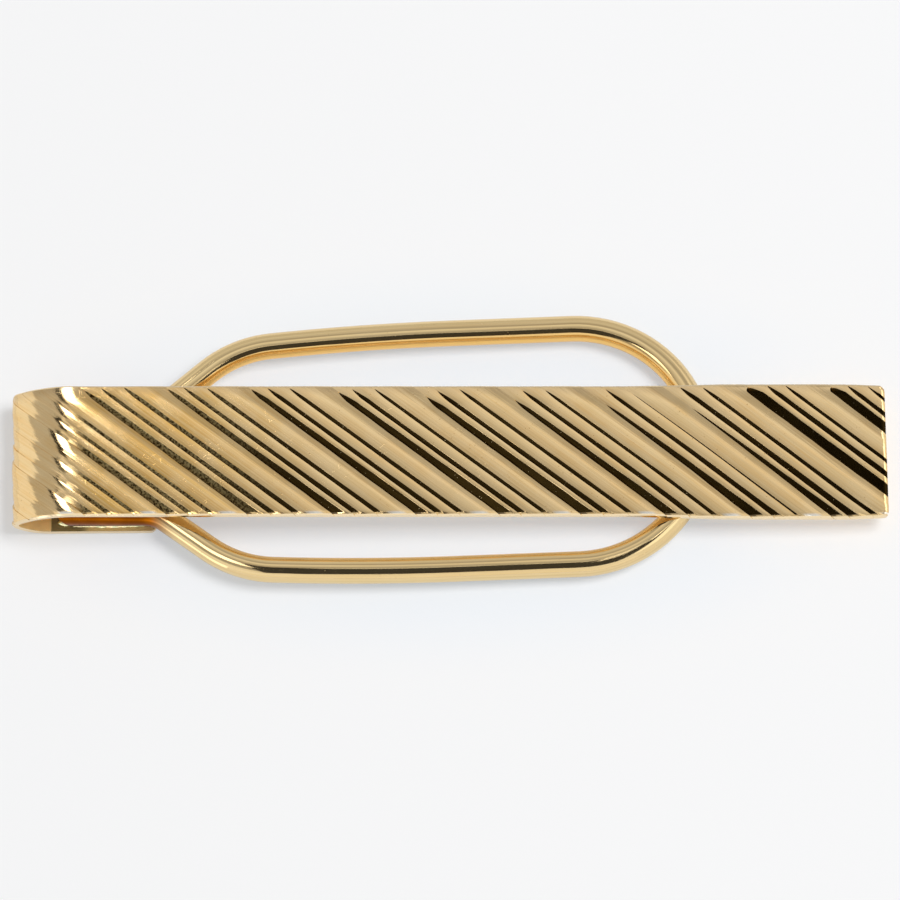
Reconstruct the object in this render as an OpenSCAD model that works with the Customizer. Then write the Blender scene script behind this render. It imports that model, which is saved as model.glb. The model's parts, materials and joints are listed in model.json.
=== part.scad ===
// Tie clip: a ribbed strip of sheet brass folded over at one end into a short tongue,
// and a round wire loop whose two legs are soldered to the tongue and spring against the strip.
// The origin is the middle of the bar's flat back, with X along the bar towards its free tip
// and Z out of its ribbed front. All lengths are in millimetres.

/* [Strip] */
// Overall length, from the nose of the fold to the free tip
strip_l = 57; // [50:0.5:66]
// Width of the strip
strip_w = 8.9; // [8:0.1:11]
// Thickness of the sheet, from its back to the top of the ribs
sheet_t = 0.5; // [0.4:0.05:0.6]
// Length of the flat tongue behind the fold
tongue_l = 6.9; // [6:0.1:9]
// Radius of the corners at the strip's two ends
corner_r = 0.4; // [0.2:0.05:0.8]
// How far the free tip is cut off square, in degrees
tip_skew = 2; // [0:0.5:4]

/* [Fold] */
// Clear height inside the fold, from the bar's back to the start of the tongue
fold_gap = 2.8; // [2.6:0.05:3.4]
// Outer radius of the slow bend that starts the fold
shoulder_r = 5.85; // [5:0.05:7]
// How far the shoulder turns, in degrees
shoulder_turn = 42; // [36:1:44]
// Outer radius of the bend that ends at the tongue
heel_r = 3; // [2.6:0.05:3.4]
// How far the heel turns, in degrees
heel_turn = 50; // [44:1:52]

/* [Ribs] */
// Distance along the bar from one group of three grooves to the next
rib_pitch = 5.37; // [4.5:0.01:7]
// Angle between the grooves and the bar's length, in degrees
rib_angle = 37.6; // [30:0.2:50]
// Distance along the bar's middle line from the fold to the first group
rib_start = 0.45; // [0:0.05:2]
// Depth of the widest groove
groove_d = 0.14; // [0.05:0.01:0.2]
// Width of the widest groove, square to its line
groove_w = 0.38; // [0.2:0.01:0.5]

/* [Wire loop] */
// Diameter of the wire
wire_d = 1.7; // [1.4:0.05:1.9]
// Distance from the tongue's side edge to the side of each leg
leg_inset = 0.1; // [0:0.05:0.3]
// Bare length of tongue between the fold and the legs' ends
leg_setback = 0.75; // [0.2:0.05:1.2]
// Distance from the tongue's end back to where the legs start to fork
fork_setback = 0.8; // [0.4:0.05:1.2]
// Angle at which the sides fork away from the legs, in degrees
flank_turn = 38.5; // [32:0.5:45]
// Radius of the wire's centre line where the legs fork
fork_r = 2.5; // [2:0.1:3]
// Radius of the wire's centre line where the sides straighten
elbow_r = 7.5; // [5:0.1:9]
// Radius of the slow bow along each side
bow_r = 170; // [120:5:220]
// How far each side bows, in degrees
bow_turn = 4; // [3:0.5:5]
// Largest width of the loop, between the wire's centre lines
loop_w = 16.34; // [15:0.02:18]
// Distance from the tongue's end to the far end of the loop's centre line
loop_reach = 35.4; // [33:0.1:40]
// How far the loop is turned sideways from the bar, in degrees
loop_skew = 1.9; // [0:0.1:2.5]
// Gap between the far end of the loop and the bar's back
mouth_gap = 0.25; // [0.2:0.05:0.5]
// Chamfer on the two cut ends of the wire
wire_chamfer = 0.25; // [0.1:0.05:0.4]

/* [Solder] */
// Length of the solder along each leg, back from where it forks
seam_l = 4.6; // [3:0.1:4.8]
// How far the solder's foot spreads on the tongue from the middle of a leg
seam_reach = 0.88; // [0.7:0.01:0.94]
// Height to which the solder climbs the wire
seam_h = 0.5; // [0.35:0.05:0.6]
// Distance from the middle of a leg at which the solder runs out under the wire
seam_root = 0.3; // [0.2:0.02:0.4]

/* [Hidden] */
$fn = 64;

// Overrun of every groove above the face that it cuts
over = 0.3;
// Sides of each rounded corner
corner_steps = 6;
// Turn of each short stretch of a bend, in degrees, and sides of the wire's round section
bend_step = 7.5;
wire_sides = 16;
// Where the three grooves of a group start, as shares of the pitch
groove_place_shares = [0, 0.231, 0.512];
// Size of each groove beside the widest
groove_size_shares = [1, 0.75, 0.55];
// Where a groove is deepest, as a share of its width from its middle
groove_deep_share = 0.3;
// Top of the solder's slope, as a share of the wire's radius from the middle of a leg
seam_top_share = 0.7;

wire_r = wire_d / 2;
half_w = strip_w / 2;
far_r = loop_w / 2;

// The tongue and the loop lean towards the bar, until the far end stands the mouth gap off it
lean = asin((fold_gap - wire_d - mouth_gap) / (tongue_l + loop_reach));

// The nose takes up the height and the turn that the shoulder and the heel leave
nose_turn = 180 + lean - shoulder_turn - heel_turn;
shoulder_drop = shoulder_r * (1 - cos(shoulder_turn));
heel_drop = heel_r * (cos(lean) - cos(heel_turn - lean));
nose_drop = fold_gap + sheet_t * (1 + cos(lean)) - shoulder_drop - heel_drop;
nose_r = nose_drop / (cos(shoulder_turn) + cos(heel_turn - lean));

// The flat bar starts where the shoulder ends, measured from the nose's outermost line
nose_x = -strip_l / 2;
fold_x = nose_x + shoulder_r * sin(shoulder_turn) + nose_r * (1 - sin(shoulder_turn));
bar_l = strip_l + nose_x - fold_x;

// The fold as bends of its outer face, and of its inner face: [radius, turn]
outer_steps = [[shoulder_r, shoulder_turn], [nose_r, nose_turn], [heel_r, heel_turn]];
inner_steps = [for (s = outer_steps) [s[0] - sheet_t, s[1]]];
inner_face = route([fold_x, 0, 180], inner_steps);
outer_face = route([fold_x, sheet_t, 180], outer_steps);
tongue_pose = inner_face[len(inner_face) - 1];

// The wire's route in the plane of the tongue, from the tongue's start and its middle line
leg_y = half_w - leg_inset - wire_r;
fork_x = tongue_l - fork_setback;
leg_x = leg_setback + wire_chamfer;
leg_l = fork_x - leg_x;
elbow_rise = elbow_r * (cos(bow_turn) - cos(flank_turn));
elbow_run = elbow_r * (sin(flank_turn) - sin(bow_turn));
bow_rise = bow_r * (1 - cos(bow_turn));
bow_run = bow_r * sin(bow_turn);

// Pose [x, y, heading] after a step, which is a straight [length, 0] or a bend [radius, turn]
function after(p, s) =
    s[1] == 0
        ? [p[0] + s[0] * cos(p[2]), p[1] + s[0] * sin(p[2]), p[2]]
        : bend_end(p, s[0] * sign(s[1]), p[2] + s[1]);

function bend_end(p, r, heading) =
    [p[0] + r * (sin(heading) - sin(p[2])), p[1] - r * (cos(heading) - cos(p[2])), heading];

// Poses all along a route: its start, short stretches of each bend, and the end of each straight
function route(start, steps, i = 0) =
    i == len(steps)
        ? [start]
        : let (n = stretches(steps[i]))
            concat(
                [for (j = [0 : n - 1]) after(start, part_of(steps[i], j / n))],
                route(after(start, steps[i]), steps, i + 1)
            );

function stretches(s) = s[1] == 0 ? 1 : max(2, ceil(abs(s[1]) / bend_step));
function part_of(s, share) = s[1] == 0 ? [s[0] * share, 0] : share == 0 ? [0, 0] : [s[0], s[1] * share];

// Steps of one side, out from the fork: side is 1 on the left of the loop and -1 on its right
function side_steps(side) =
    let (
        fork_turn = flank_turn + side * loop_skew,
        p = after([fork_x - tongue_l, side * leg_y, 0], [fork_r, side * fork_turn]),
        along = p[0] * cos(loop_skew) + p[1] * sin(loop_skew),
        across = side * (p[1] * cos(loop_skew) - p[0] * sin(loop_skew)),
        flank_l = (far_r - across - elbow_rise - bow_rise) / sin(flank_turn),
        straight_l = loop_reach - far_r - along - flank_l * cos(flank_turn) - elbow_run - bow_run
    )
    [
        [fork_r, side * fork_turn],
        [flank_l, 0],
        [elbow_r, side * (bow_turn - flank_turn)],
        [bow_r, -side * bow_turn],
        [straight_l, 0]
    ];

// The same bends met from the far end, on the way back to the leg
function reversed(steps) =
    [for (i = [len(steps) - 1 : -1 : 0]) [steps[i][0], -steps[i][1]]];

wire_steps = concat(
    [[leg_l, 0]],
    side_steps(1),
    [[far_r, -180]],
    reversed(side_steps(-1)),
    [[leg_l, 0]]
);
wire_route = route([leg_x, leg_y, 0], wire_steps);

// Rings of the wire: its route at full size, and a smaller ring on each of its cut ends
wire_rings = concat(
    [wire_ring([leg_setback, leg_y, 0], wire_r - wire_chamfer)],
    [for (pose = wire_route) wire_ring(pose, wire_r)],
    [wire_ring([leg_setback, -leg_y, -180], wire_r - wire_chamfer)]
);

function wire_ring(pose, r) =
    [for (k = [0 : wire_sides - 1])
        let (a = 360 * (k + 1 / 2) / wire_sides)
        [pose[0] - r * sin(a) * sin(pose[2]), pose[1] + r * sin(a) * cos(pose[2]), wire_r - r * cos(a)]];

// Triangles between two neighbouring rings of a tube of n sides
function ring_faces(i, n) =
    [for (k = [0 : n - 1])
        let (a = i * n + k, b = i * n + (k + 1) % n)
        for (f = [[a, b, a + n], [b, b + n, a + n]]) f];

// Points of a plate that starts square at x = 0 and ends in two rounded corners
function plate_points(l, r, skew) =
    let (back = r / cos(skew))
    concat(
        [[0, half_w], [0, -half_w]],
        arc_points([l - r * tan(skew) - back, r - half_w], r, -90, skew),
        arc_points([l - (strip_w - r) * tan(skew) - back, half_w - r], r, skew, 90)
    );

function arc_points(centre, r, from, to) =
    [for (i = [0 : corner_steps])
        let (a = from + (to - from) * i / corner_steps)
        centre + r * [cos(a), sin(a)]];

// A closed tube through rings of as many points each
module tube(rings) {
    n = len(rings[0]);
    last = len(rings) - 1;
    polyhedron(
        points = [for (ring = rings, point = ring) point],
        faces = concat(
            [[for (k = [n - 1 : -1 : 0]) k]],
            [for (i = [0 : last - 1], f = ring_faces(i, n)) f],
            [[for (k = [0 : n - 1]) last * n + k]]
        )
    );
}

// Everything that lies on the tongue is drawn flat and then leant with it
module on_tongue() {
    translate([tongue_pose[0], 0, tongue_pose[1]])
    rotate([0, -lean, 0])
    children();
}

// One groove right across the bar, through a point of its middle line
module groove(x, size) {
    translate([x, 0, sheet_t])
    rotate([90, 0, 90 - rib_angle])
    linear_extrude(strip_w / sin(rib_angle) + 2 * rib_pitch, center = true)
    polygon([
        [-size * groove_w / 2, over],
        [-size * groove_w / 2, 0],
        [-size * groove_w * groove_deep_share, -size * groove_d],
        [size * groove_w / 2, 0],
        [size * groove_w / 2, over]
    ]);
}

module front_bar() {
    slant = half_w / tan(rib_angle);
    color("goldenrod")
    translate([fold_x, 0, 0])
    difference() {
        linear_extrude(sheet_t)
        polygon(plate_points(bar_l, corner_r, tip_skew));
        for (k = [-ceil(slant / rib_pitch) : floor((bar_l + slant) / rib_pitch)])
            for (g = [0 : len(groove_place_shares) - 1])
                groove(rib_start + (k + groove_place_shares[g]) * rib_pitch, groove_size_shares[g]);
    }
}

module spring_fold() {
    inside = [for (i = [len(inner_face) - 1 : -1 : 0]) inner_face[i]];
    color("gold")
    rotate([90, 0, 0])
    linear_extrude(strip_w, center = true)
    polygon([for (pose = concat(outer_face, inside)) [pose[0], pose[1]]]);
}

module back_tongue() {
    color("darkgoldenrod")
    on_tongue()
    translate([0, 0, -sheet_t])
    linear_extrude(sheet_t)
    polygon(plate_points(tongue_l, corner_r, 0));
}

module wire_loop() {
    color("khaki")
    on_tongue()
    tube(wire_rings);
}

// Solder in the corner between a leg and the tongue, on both sides of each leg
module solder_seams() {
    color("palegoldenrod")
    on_tongue()
    for (leg = [-1, 1], side = [-1, 1])
        translate([fork_x - seam_l, leg * leg_y, 0])
        rotate([90, 0, 90])
        linear_extrude(seam_l)
        difference() {
            polygon([
                [side * seam_root, 0],
                [side * seam_reach, 0],
                [side * seam_top_share * wire_r, seam_h],
                [side * seam_root, seam_h]
            ]);
            translate([0, wire_r]) circle(wire_r);
        }
}

front_bar();
spring_fold();
back_tongue();
wire_loop();
solder_seams();
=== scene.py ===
import json
import math
import bpy
import numpy as np
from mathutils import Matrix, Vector


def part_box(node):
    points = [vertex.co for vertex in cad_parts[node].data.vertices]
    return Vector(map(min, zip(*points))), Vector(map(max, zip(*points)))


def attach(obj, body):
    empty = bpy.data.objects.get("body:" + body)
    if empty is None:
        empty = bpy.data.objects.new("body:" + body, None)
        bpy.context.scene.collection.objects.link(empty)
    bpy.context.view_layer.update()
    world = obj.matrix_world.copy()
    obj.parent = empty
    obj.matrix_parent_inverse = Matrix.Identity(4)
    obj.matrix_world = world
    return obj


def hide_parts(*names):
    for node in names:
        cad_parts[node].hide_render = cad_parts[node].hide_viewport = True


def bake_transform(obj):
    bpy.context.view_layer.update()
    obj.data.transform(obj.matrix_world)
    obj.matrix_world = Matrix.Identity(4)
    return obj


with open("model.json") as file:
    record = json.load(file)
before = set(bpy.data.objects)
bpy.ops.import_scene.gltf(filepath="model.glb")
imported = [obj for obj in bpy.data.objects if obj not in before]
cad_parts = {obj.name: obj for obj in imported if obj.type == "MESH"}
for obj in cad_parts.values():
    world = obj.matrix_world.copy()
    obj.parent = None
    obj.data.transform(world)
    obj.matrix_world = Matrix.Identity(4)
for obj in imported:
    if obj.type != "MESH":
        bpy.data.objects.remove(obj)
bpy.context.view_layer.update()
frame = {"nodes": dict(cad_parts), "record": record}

mm = 0.001
print("frame loaded:", ", ".join(sorted(frame["nodes"])))


# Small helpers for the mesh work

def deselectAll():
    if bpy.context.object and bpy.context.object.mode == "EDIT":
        bpy.ops.object.mode_set(mode="OBJECT")
    bpy.ops.object.select_all(action="DESELECT")


def startPiece(name):
    piece = bpy.context.object
    piece.name = name
    piece.data.name = name
    bpy.ops.object.mode_set(mode="EDIT")
    return piece


def cutAcross(point, normal, clearOuter=False):
    bpy.ops.mesh.select_all(action="SELECT")
    bpy.ops.mesh.bisect(plane_co=point, plane_no=normal, clear_outer=clearOuter, threshold=1e-7)


def readPoints(piece):
    points = np.empty(len(piece.data.vertices) * 3, np.float32)
    piece.data.vertices.foreach_get("co", points)
    return points.reshape(-1, 3).astype(float)


def writePoints(piece, points):
    piece.data.vertices.foreach_set("co", points.astype(np.float32).ravel())
    piece.data.update()


def keepPlace(piece, name, points):
    place = piece.data.attributes.new(name, "FLOAT_VECTOR", "POINT")
    place.data.foreach_set("vector", (points / mm).astype(np.float32).ravel())


def smoothStep(low, high, value):
    share = np.clip((value - low) / (high - low), 0, 1)
    return share * share * (3 - 2 * share)


def selectAlone(piece):
    deselectAll()
    piece.select_set(True)
    bpy.context.view_layer.objects.active = piece


def applyPlace(piece):
    selectAlone(piece)
    bpy.ops.object.transform_apply(location=True, rotation=True, scale=True)


def smoothByAngle(piece, degrees):
    selectAlone(piece)
    bpy.ops.object.shade_smooth_by_angle(angle=math.radians(degrees))


# The strip's sizes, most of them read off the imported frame

barLow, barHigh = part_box("front_bar")
tongueMount = next(m for m in frame["record"]["mounts"] if m["name"] == "tongue_back")

strip = {
    "foldX": barLow[0],     # the flat bar starts here
    "tipX": barHigh[0],
    "halfWidth": barHigh[1],
    "sheet": 0.5 * mm,
    "lean": math.asin(tongueMount["axis"][0]),
    "tipSkew": math.radians(1.6),
    "tipFlare": (11 * mm, 19 * mm, 0.13 * mm),      # from, full from, and how much wider each side
    "tipPull": (3 * mm, 0.7),       # the flare eases off over this length, by this share
    "tongueLength": 6.9 * mm,
    "shoulder": (5.85 * mm, math.radians(42)),   # outer radius and turn
    "heel": (3.0 * mm, math.radians(50)),
    "gap": 2.799 * mm,
    "cornerRadius": 0.4 * mm,
    "smoothUnder": 12,      # degrees between faces
}


def foldSteps():
    lean = strip["lean"]
    shoulderR, shoulderTurn = strip["shoulder"]
    heelR, heelTurn = strip["heel"]
    drop = strip["gap"] + strip["sheet"] * (1 + math.cos(lean))
    drop -= shoulderR * (1 - math.cos(shoulderTurn))
    drop -= heelR * (math.cos(lean) - math.cos(heelTurn - lean))
    noseR = drop / (math.cos(shoulderTurn) + math.cos(heelTurn - lean))
    noseTurn = math.pi + lean - shoulderTurn - heelTurn
    return [strip["shoulder"], (noseR, noseTurn), strip["heel"]]


bends = foldSteps()
bendLengths = [radius * turn for radius, turn in bends]
foldLength = sum(bendLengths)
flatStart = strip["foldX"] - foldLength - strip["tongueLength"]

# Grooves as (middle, width, growth towards the lower edge, start below the upper edge), in mm but for
# the growth, which is a share: the middle is where the line crosses the bar's middle line, and the width
# is along the bar
ribs = {
    "angle": math.radians(37.6),
    "pitch": 5.37,
    "before": 4,        # grooves of each kind before the first one listed, round the fold
    "wide": [
        (-29.1, 0.62, 0.3, 0.1), (-23.73, 0.62, 0.34, 0.05), (-18.38, 0.76, 0.34, 0.3), (-12.84, 0.73, 0.36, 0.2),
        (-7.43, 0.8, 0.28, 0.25), (-2.01, 0.87, 0.26, 0.45), (3.3, 0.88, 0.26, 0.8), (8.75, 0.74, 0.4, 1.0),
        (14.29, 0.64, 0.65, 1.25), (19.47, 0.44, 1.0, 1.5), (24.93, 1.14, 0.05, 0.22), (30.35, 1.1, 0.1, 0.2),
        (35.8, 1.1, 0.1, 0.2),      # past the tip, so that the groove before it is cut too
    ],
    "medium": [
        (-27.75, 0.46, 0.2, 0.1), (-22.5, 0.43, 0.2, 0.1), (-17.1, 0.5, 0.22, 0.15), (-11.66, 0.52, 0.2, 0.1),
        (-6.27, 0.54, 0.15, 0.15), (-0.87, 0.55, 0.12, 0.25), (4.53, 0.57, 0.12, 0.35), (10.1, 0.54, 0.18, 0.3),
        (15.6, 0.54, 0.22, 0.25), (20.55, 0.64, 0.2, 0.15), (26.28, 0.6, 0.1, 0.1), (31.5, 0.55, 0.1, 0.1),
    ],
    "thin": [
        (-26.1, 0.36, 0.1, 0.1), (-21.1, 0.38, 0.1, 0.1), (-15.55, 0.5, 0.1, 0.1), (-10.2, 0.47, 0.1, 0.15),
        (-4.85, 0.46, 0.1, 0.15), (0.6, 0.4, 0.1, 0.2), (6.1, 0.44, 0.1, 0.25), (11.6, 0.4, 0.1, 0.3),
        (16.95, 0.15, 0.5, 0.5), (21.95, 0.43, 0.1, 0.2), (27.45, 0.4, 0.1, 0.1), (32.8, 0.36, 0.1, 0.1),
    ],
    "crest": {"wide": 0.0, "medium": -0.03, "thin": -0.03},    # level of the ridge where it drops to the groove
    "rampSlope": 29.0,      # the side of a groove that faces the camera, in degrees
    "deepest": 0.27,
    # Fall of a ridge in degrees at shares of its width, up to a wide groove and up to the others
    "broadCrown": ((0, 0.16, 0.58, 0.7, 1), (-13, -8, -2, 4, 8)),
    "narrowCrown": ((0, 0.4, 0.8, 1), (-13, -8, -2, 1)),
    "dropShare": 0.07,      # share of a groove's width that its steep side takes
    "taper": (0.6, 0.6),    # length over which a groove widens from its tip, and the curve of that
    "bluntTaper": 0.3,
    "bluntOver": 0.95,      # grooves wider than this have a blunt tip
    "bluntLeftOf": -20,     # and so do the wide ones left of this
    "leastWidth": 0.012,
    "below": 0.052,         # how far the ridges stay below the solid's face
    "foldEase": (0.85, 0.15),       # how much shallower the grooves and the ridges are round the fold
    "foldFade": (1.6, 0.5),     # fully from this far past the fold's start, and not at all this far before it
    "heelFade": (1.6, 0.1),     # the ribs run out between these distances past the heel's start
    "waver": 0.03,
    "waves": ((1.9, 2.3, 1.0), (4.3, 1.7, 0.6), (9.7, 3.1, 0.35)),      # rate, shift per groove, share
    "edgeFade": 0.3,        # the grooves run out this close to the lower edge
    "grooveShadeRise": (2, 14),      # how fast the painted groove shade sets in on the steep side and ends on the ramp
    "grooveShadeOver": 0.02,         # narrower grooves stay gold
    "grooveShadeEdge": (0.15, 0.26),     # none and full, measured from the lower edge
}


def grooveLines():
    lines = []
    for kind in ("wide", "medium", "thin"):
        first = ribs[kind][0]
        before = [(first[0] - n * ribs["pitch"], *first[1:]) for n in range(ribs["before"], 0, -1)]
        for middle, width, growth, start in before + ribs[kind]:
            lines.append((middle, width, growth, start, ribs["crest"][kind], kind == "wide"))
    return np.array(sorted(lines))


# Where the sheet is cut before it is shaped, in mm
cuts = {
    "fineStep": 0.13,       # round the fold
    "plainStep": 0.26,
    "coarseStep": 0.5,      # along the tongue
    "fineReach": 6,         # of the fine steps, past the fold on both sides
    "fineFlank": (0.42, 0.71, 0.93),        # shares of a groove's width
    "plainFlank": (0.5, 0.93),
    "leastRidge": 5,        # cuts on one ridge
    "leastTongueRidge": 2,
    "edgeRows": (0.02, 0.06, 0.1, 0.14, 0.2, 0.28, 0.38, 0.5, 0.66, 0.86),
    "middleRow": 0.23,
    "tipRows": (0, 0.03, 0.07, 0.12, 0.2, 0.32),
    "tongueRows": (0.03, 0.08, 0.15, 0.3),
}


def columnPlaces(lines):
    fineFrom = (strip["foldX"] - foldLength) / mm - cuts["fineReach"]
    fineTo = strip["foldX"] / mm + cuts["fineReach"]
    places = []
    for here, after in zip(lines[:-1], lines[1:]):
        left, right = here[0] - here[1] / 2, here[0] + here[1] / 2
        nextLeft = after[0] - after[1] / 2
        kind = "coarse" if left < fineFrom else "fine" if fineFrom < left < fineTo else "plain"
        flankCuts = (0, ribs["dropShare"], *cuts["fineFlank" if kind == "fine" else "plainFlank"])
        leastCuts = cuts["leastTongueRidge" if kind == "coarse" else "leastRidge"]
        ridgeCuts = max(leastCuts, math.ceil((nextLeft - right) / cuts[kind + "Step"]))
        places += [left + (right - left) * share for share in flankCuts]
        places += [right + (nextLeft - right) * n / ridgeCuts for n in range(ridgeCuts)]
    reach = strip["halfWidth"] / mm / math.tan(ribs["angle"])
    return [p for p in places if flatStart / mm - reach < p < strip["tipX"] / mm + reach]


def rowPlaces():
    half, edgeRows = strip["halfWidth"] / mm, cuts["edgeRows"]
    rows = [half - d for d in edgeRows]
    inner = half - edgeRows[-1]
    count = math.ceil(2 * inner / cuts["middleRow"])
    rows += [inner - 2 * inner * n / count for n in range(1, count)]
    rows += [d - half for d in reversed(edgeRows)]
    return rows


def cutBlank():
    half, sheet = strip["halfWidth"], strip["sheet"]
    length = strip["tipX"] - flatStart
    deselectAll()
    place = (flatStart + length / 2, 0, sheet)
    bpy.ops.mesh.primitive_plane_add(size=1, location=place)
    piece = startPiece("ribbed_strip")
    bpy.ops.transform.resize(value=(length, 2 * half, 1), center_override=place)
    ribNormal = (math.sin(ribs["angle"]), math.cos(ribs["angle"]), 0)
    lines = grooveLines()
    for x in columnPlaces(lines):
        cutAcross((x * mm, 0, sheet), ribNormal)
    skew = strip["tipSkew"]
    endNormal = (math.cos(skew), math.sin(skew), 0)
    for d in cuts["tipRows"]:       # the first cut is the slanting tip itself
        cutAcross((strip["tipX"] - d * mm, -half, sheet), endNormal, clearOuter=d == 0)
    for d in cuts["tongueRows"]:
        cutAcross((flatStart + d * mm, 0, sheet), (-1, 0, 0))
    for y in rowPlaces():
        cutAcross((0, y * mm, sheet), (0, 1, 0))
    bpy.ops.mesh.select_all(action="SELECT")
    bpy.ops.mesh.extrude_region_move(TRANSFORM_OT_translate={"value": (0, 0, -sheet)})
    bpy.ops.mesh.select_all(action="SELECT")
    bpy.ops.mesh.normals_make_consistent(inside=False)
    bpy.ops.object.mode_set(mode="OBJECT")
    applyPlace(piece)
    return piece, lines


edges = {
    "upperRound": (0.12, 0.05),     # how far the edge's rounding reaches in, and how deep it goes, in mm
    "upperFade": 1.4,       # the relief gets flatter this close to the upper edge
    "upperLevel": 0.3,      # and keeps this share of its height at the edge
    "lowerChamfer": 0.1,
    "lowerEase": (0.3, 0.021),      # a gentle fall before the lower edge's chamfer
    "lowerExtra": 0.05,     # how much further than the upper edge the lower one flares at the tip
    "tipRound": (0.32, 0.14),
    "backRound": (0.03, 0.015),
    "glintAlong": (0.1, 0.3, 0.55, 0.8),        # where a broad ridge's edge gets its painted highlight, in shares of its width
    "glintAcross": (0.09, 0.16, 0.3),       # and above the lower edge
}


def roundOff(distance, reach, depth):
    inside = np.clip(1 - distance / reach, 0, 1)
    return -depth * inside ** 2


def crownRise(share, isBroad):
    samples = np.linspace(0, 1, 201)
    rises = []
    for kind in ("narrowCrown", "broadCrown"):
        rate = -np.tan(np.radians(np.interp(samples, *ribs[kind])))
        height = np.concatenate([[0], np.cumsum((rate[1:] + rate[:-1]) / 2 * np.diff(samples))])
        rises.append(np.interp(share, samples, height))
    return np.where(np.asarray(isBroad) > 0.5, rises[1], rises[0])


def shapeRibs(points, lines):
    sheet, half = strip["sheet"] / mm, strip["halfWidth"] / mm
    x, y, z = points[:, 0] / mm, points[:, 1] / mm, points[:, 2] / mm
    front = z > sheet / 2
    upper, lower = half - y, half + y       # distance from the bar's two edges
    along = x + y / math.tan(ribs["angle"])
    middle, width, growth, start, crest, isWide = lines.T
    left, right = middle - width / 2, middle + width / 2
    i = np.clip(np.searchsorted(left, along + 1e-5) - 1, 0, len(lines) - 2)
    onFlank = along < right[i] - 1e-5
    flankShare = (along - left[i]) / (right[i] - left[i])
    ridgeShare = (along - right[i]) / (left[i + 1] - right[i])

    foldFrom = strip["foldX"] / mm
    onFold = 1 - smoothStep(foldFrom - ribs["foldFade"][0], foldFrom + ribs["foldFade"][1], x)

    def widthAt(j):
        grown = width[j] * (1 - growth[j] * y / half)
        isBlunt = (width[j] > ribs["bluntOver"]) | (isWide[j] > 0.5) & (middle[j] < ribs["bluntLeftOf"])
        taperLength, curve = ribs["taper"]
        taper = np.clip((upper - start[j]) / np.where(isBlunt, ribs["bluntTaper"], taperLength), 0, 1) ** curve
        waver = sum(np.sin(y * rate + j * shift) * share for rate, shift, share in ribs["waves"])
        return np.maximum(grown * taper * (1 + ribs["waver"] * waver), ribs["leastWidth"])

    def leftAt(j):
        return middle[j] - widthAt(j) / 2

    def depthAt(j):
        square = widthAt(j) * (1 - ribs["dropShare"]) * math.sin(ribs["angle"])
        depth = np.minimum(square * math.tan(math.radians(ribs["rampSlope"])), ribs["deepest"])
        fromEdge = np.maximum(lower, edges["lowerChamfer"])
        return depth * (1 - ribs["foldEase"][0] * onFold) * smoothStep(0, ribs["edgeFade"], fromEdge)

    grooveWidth = widthAt(i)
    ridgeLength = leftAt(i + 1) - leftAt(i) - grooveWidth
    newAlong = leftAt(i) + np.where(onFlank, grooveWidth * flankShare, grooveWidth + ridgeLength * ridgeShare)
    ridgeWidth = ridgeLength * math.sin(ribs["angle"])
    upperLevel = edges["upperLevel"]
    upperShare = upperLevel + (1 - upperLevel) * smoothStep(0, edges["upperFade"], upper)
    ridgeEnd = crest[i + 1] * upperShare
    ridgeStart = ridgeEnd - crownRise(1, isWide[i + 1]) * ridgeWidth * upperShare
    bottom = ridgeStart - depthAt(i)
    drop = flankShare / ribs["dropShare"]
    ramp = (flankShare - ribs["dropShare"]) / (1 - ribs["dropShare"])
    level = np.where(
        onFlank,
        np.where(drop < 1, crest[i] * upperShare * (1 - drop) + bottom * drop,
                 bottom + (ridgeStart - bottom) * ramp),
        ridgeStart + crownRise(ridgeShare, isWide[i + 1]) * ridgeWidth * upperShare,
    )
    # The ribs fade out over the heel, so the tongue's face is plain
    heelFrom = (strip["foldX"] - bendLengths[0] - bendLengths[1]) / mm
    fade = smoothStep(heelFrom - ribs["heelFade"][0], heelFrom - ribs["heelFade"][1], x)
    level = (level - ribs["below"]) * fade * (1 - ribs["foldEase"][1] * onFold)
    # Cuts that follow the two ends stay where they are
    fromTip = strip["tipX"] / mm - lower * math.tan(strip["tipSkew"]) - x
    fromTongueEnd = x - flatStart / mm
    stays = (fromTip < cuts["tipRows"][-1] + 0.01) | (fromTongueEnd < cuts["tongueRows"][-1] + 0.01)
    flatX = np.where(stays | ~front, x, x + newAlong - along)
    level = level + roundOff(upper, *edges["upperRound"]) + roundOff(lower, *edges["lowerEase"])
    level = level - np.clip(edges["lowerChamfer"] - lower, 0, None)
    level = level + roundOff(fromTip, *edges["tipRound"]) + roundOff(fromTongueEnd, *edges["tipRound"])
    nearest = np.minimum(np.minimum(upper, lower), np.minimum(fromTip, fromTongueEnd))
    newZ = np.where(front, sheet + level, -roundOff(nearest, *edges["backRound"]))

    # Marks for painted colour: shade in the grooves, and a highlight where the broad ridges meet the lower edge
    setsIn, runsOut = ribs["grooveShadeRise"]
    inGroove = np.where(onFlank & front, np.clip(np.minimum(setsIn * drop, runsOut * (1 - ramp)), 0, 1), 0.0)
    inGroove = inGroove * (grooveWidth > ribs["grooveShadeOver"]) * smoothStep(*ribs["grooveShadeEdge"], lower)
    begin, full, fading, end = edges["glintAlong"]
    paintedEdgeGlint = smoothStep(begin, full, ridgeShare) * (1 - smoothStep(fading, end, ridgeShare))
    begin, fading, end = edges["glintAcross"]
    paintedEdgeGlint = paintedEdgeGlint * (lower > begin) * (1 - smoothStep(fading, end, lower))
    paintedEdgeGlint = paintedEdgeGlint * (isWide[i + 1] > 0.5) * ~onFlank * front
    return np.stack([flatX, y, newZ], axis=1) * mm, {"inGroove": inGroove, "paintedEdgeGlint": paintedEdgeGlint}


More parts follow.
